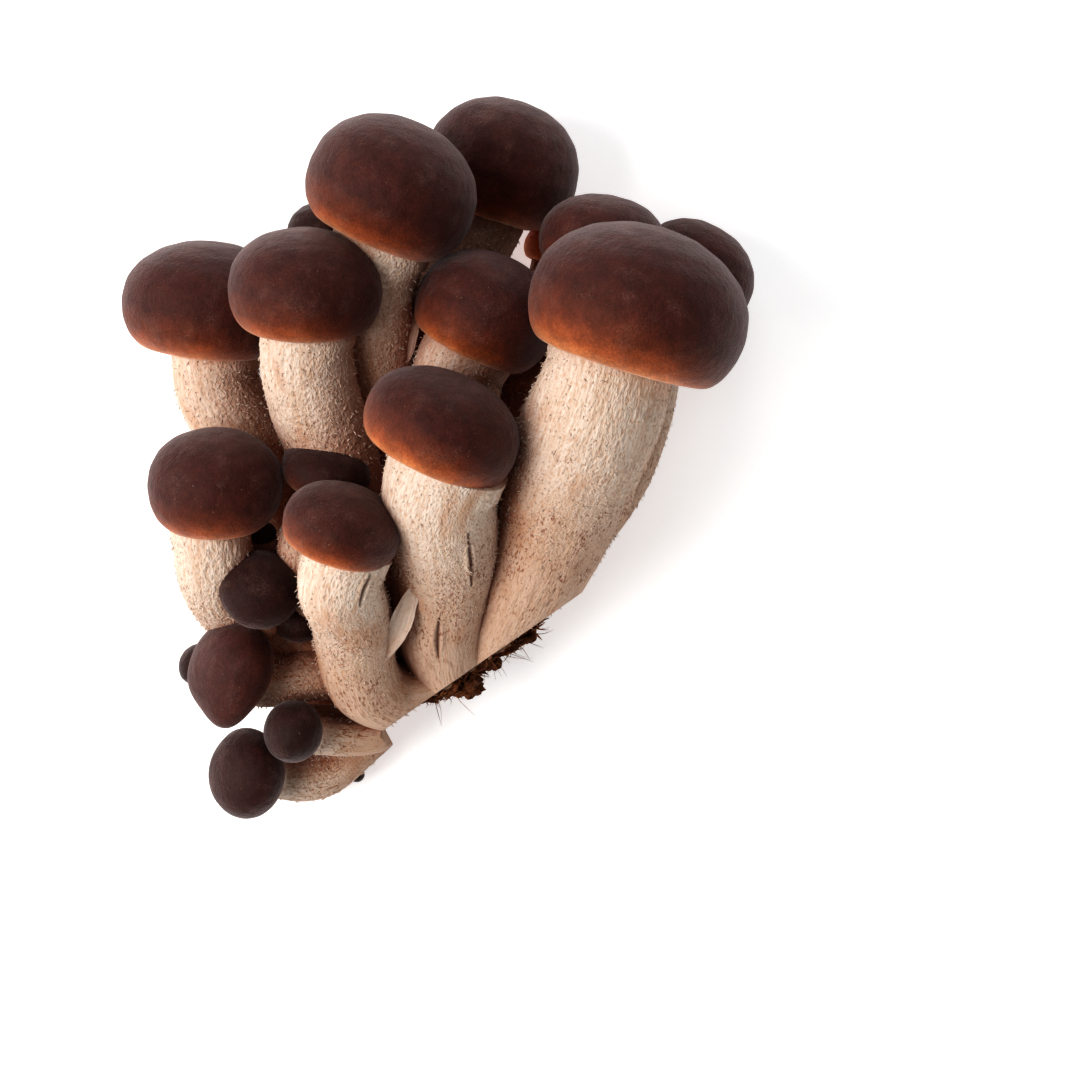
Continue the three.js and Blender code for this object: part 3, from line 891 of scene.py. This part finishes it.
bloom = skin.slope(skin.noise((0.22, 0.22, 0.22), 4.0), 0.5, 0.7)
bloom = skin.times(bloom, skin.slope(skin.noise((5.0, 5.0, 5.0), 2.0), 0.42, 0.62))
tint = skin.mix(skin.times(bloom, 0.22), tint, colour(150, 118, 108))
specks = skin.slope(skin.noise((3.4, 3.4, 3.4), 1.0), 0.77, 0.8, 0.0, 0.5)
tint = skin.mix(specks, tint, colour(200, 170, 140))
# Painted glow: a cap whose number is below 0 is painted bright orange all over, though it sits in
# shade.
tint = skin.mix(skin.slope(youth_and_painted_glow, -0.1, -0.6), tint, colour(230, 130, 80))
fine = skin.bumps(skin.noise((3.4, 3.4, 3.4), 4.0, 0.6), 0.00014)
wrinkles = skin.bumps(skin.noise((0.7, 0.7, 0.7), 3.0, 0.5), 0.00022, 1.0, fine)
skin.finish({
    "Base Color": tint, "Normal": wrinkles, "Roughness": 0.6, "Specular IOR Level": 0.25,
    "Sheen Weight": 0.3, "Sheen Roughness": 0.4, "Sheen Tint": (0.9, 0.82, 0.82, 1),
})

# %% [markdown]
# The flesh of a stem is cream with brown streaks along it, darker towards the foot. Dark flecks
# gather in a band across the middle. Painted shade browns the creases, the slits, the hollows of
# the nap, and the nooks between two stems.

# %% Stem material
flesh = Shader("stem_flesh")
down, bare = flesh.number("down"), flesh.number("bare")
streaks = flesh.noise((1.6, 1.6, 0.12), 5.0, 0.6)
tint = flesh.mix(flesh.slope(streaks, 0.35, 0.7), colour(226, 209, 195), colour(208, 184, 164))
blotch = flesh.slope(flesh.noise((0.16, 0.16, 0.09), 4.0), 0.5, 0.72)
tint = flesh.mix(flesh.times(blotch, 0.6), tint, colour(184, 134, 100))
tint = flesh.mix(flesh.slope(down, 0.0, 0.6, 0.0, 0.6), tint, colour(182, 140, 112))
nap = flesh.noise((2.3, 2.3, 2.0), 2.0, 0.5)
# Painted shade: the hollows between the grains of the nap are tinted darker, less so where the stem
# is bare.
painted_pit_shade = flesh.times(flesh.slope(nap, 0.5, 0.32), flesh.slope(bare, 0.0, 1.0, 0.45, 0.2))
tint = flesh.mix(painted_pit_shade, tint, colour(190, 140, 104))
fibre = flesh.slope(flesh.noise((4.5, 4.5, 0.25), 3.0, 0.55), 0.56, 0.68)
fibre = flesh.times(fibre, flesh.slope(bare, 0.0, 1.0, 0.1, 0.5))
tint = flesh.mix(fibre, tint, colour(140, 92, 66))
zone = flesh.slope(flesh.noise((0.2, 0.2, 0.12), 2.0), 0.4, 0.56)
band = flesh.times(flesh.slope(down, 0.05, 0.32), flesh.slope(down, 0.95, 0.65))
flecks = flesh.slope(flesh.noise((2.6, 2.6, 1.1), 3.0, 0.6), 0.54, 0.61)
flecks = flesh.times(flecks, flesh.times(zone, band))
tint = flesh.mix(flesh.times(flecks, 0.8), tint, colour(132, 80, 54))
dots = flesh.slope(flesh.noise((1.5, 1.5, 1.1), 2.0, 0.5), 0.73, 0.76)
tint = flesh.mix(flesh.times(dots, flesh.slope(down, 0.2, 0.6)), tint, colour(120, 64, 40))
# Painted shade: the creases and slits are darkened to a deep brown.
tint = flesh.mix(flesh.times(flesh.number("crease_and_painted_shade"), 0.85), tint, colour(84, 48, 34))
# Painted shade: points that are hidden by the stems around them turn a reddish brown.
painted_nook_shade = flesh.add("AmbientOcclusion", {"samples": 6}, {"Distance": 0.02}, "AO")
painted_nook_shade = flesh.times(flesh.slope(painted_nook_shade, 0.75, 0.1, 0.0, 0.75), flesh.slope(bare, -0.9, -0.1))
tint = flesh.mix(painted_nook_shade, tint, colour(138, 74, 48))
fibres = flesh.noise((3.6, 3.6, 0.3), 4.0, 0.6)
fibres = flesh.bumps(flesh.times(fibres, flesh.slope(bare, 0.0, 1.0, 0.1, 1.0)), 0.0002)
coat = flesh.times(nap, flesh.slope(bare, 0.0, 1.0, 1.0, 0.2))
coat = flesh.bumps(coat, 0.00042, 1.0, fibres)
flesh.finish({
    "Base Color": tint, "Normal": coat, "Roughness": 0.8, "Specular IOR Level": 0.2,
    "Sheen Weight": 0.1,
})

# %% Crust material
chips = Shader("substrate")
tone = chips.number("tone")
rot = chips.slope(chips.noise((1.2, 1.2, 1.2), 5.0, 0.7), 0.3, 0.7)
tint = chips.mix(rot, colour(60, 34, 22), colour(128, 82, 54))
tint = chips.mix(chips.slope(tone, 0.35, 1.0), tint, colour(178, 122, 82))
tint = chips.mix(chips.slope(tone, 1.1, 1.9), tint, colour(206, 180, 158))
crumbs = chips.bumps(chips.noise((3.0, 3.0, 3.0), 5.0, 0.7), 0.0003)
chips.finish({"Base Color": tint, "Normal": crumbs, "Roughness": 0.9, "Specular IOR Level": 0.2})

# %% [markdown]
# ## Hanging the pieces on the frame

# %% Attach
def attach(made, node, shader):
    made.data.materials.clear()
    made.data.materials.append(shader.material)
    made.name = node + "_skin"
    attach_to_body(made, "root")
    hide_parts(node)


for node, made in cap_objects.items():
    attach(made, node, skin)
for node, made in stem_objects.items():
    attach(made, node, flesh)
for node, made in lumps.items():
    woody = node.startswith("substrate")
    attach(made, node, chips if woody else flesh)

# %% [markdown]
# ## Table, light and camera
#
# The cluster lies on a plain table that glows a little, so the shadows on it stay pale. One big
# soft light stands to the left, so stems and caps are brightest there and fall away to the right.
# A weaker one beyond the caps brings out their velvet. The camera looks straight down.

# %% Stage
FLOOR_SIZE = 3.0
FLOOR_GAP = 0.0002  # the table lies this far below the cluster
FLOOR_GLOW, ROOM_GLOW = 0.36, 0.24
WHITE = (1, 1, 1, 1)
bpy.ops.mesh.primitive_plane_add(size=FLOOR_SIZE, location=(0, 0, -FLOOR_GAP))
floor = bpy.context.object
floor.name = "table"
paper = Shader("table")
paper.finish({
    "Base Color": (0.9, 0.9, 0.9, 1), "Roughness": 0.9, "Specular IOR Level": 0.1,
    "Emission Color": WHITE, "Emission Strength": FLOOR_GLOW,
})
floor.data.materials.append(paper.material)

world = bpy.data.worlds.new("room")
world.use_nodes = True
background = world.node_tree.nodes["Background"]
background.inputs["Color"].default_value = WHITE
background.inputs["Strength"].default_value = ROOM_GLOW
bpy.context.scene.world = world


# %% Lights
MIDDLE_HEIGHT = 0.03  # of the cluster's middle, where the lights point


def soft_light(name, towards, distance, size, power, tint):
    """A square light in the direction towards, facing the cluster."""
    light = bpy.data.lights.new(name, "AREA")
    light.size, light.energy, light.color = size, power, tint
    placed = bpy.data.objects.new(name, light)
    bpy.context.scene.collection.objects.link(placed)
    away = Vector(towards).normalized()
    placed.location = away * distance + Vector((0, 0, MIDDLE_HEIGHT))
    placed.rotation_euler = away.to_track_quat("Z", "Y").to_euler()


soft_light("window", (-1.0, -0.15, 1.05), 1.4, 0.9, 17.4, (1.0, 0.985, 0.965))
soft_light("sky", (0.1, 1.0, 0.7), 0.9, 0.7, 2.0, (0.97, 0.98, 1.0))

# %% Camera
CAMERA_HEIGHT = 0.75
AIM = (0.01664, -0.01347)  # right of and below the cluster, which then shows left of the middle
LENS, SENSOR = 150.0, 36.0  # millimetres
camera = bpy.data.cameras.new("camera")
camera.sensor_width, camera.lens = SENSOR, LENS
camera.clip_start, camera.clip_end = 0.05, 20
viewer = bpy.data.objects.new("camera", camera)
viewer.location = (AIM[0], AIM[1], CAMERA_HEIGHT)
bpy.context.scene.collection.objects.link(viewer)
bpy.context.scene.camera = viewer
bpy.context.scene.view_settings.view_transform = "Standard"
bpy.context.scene.view_settings.look = "High Contrast"
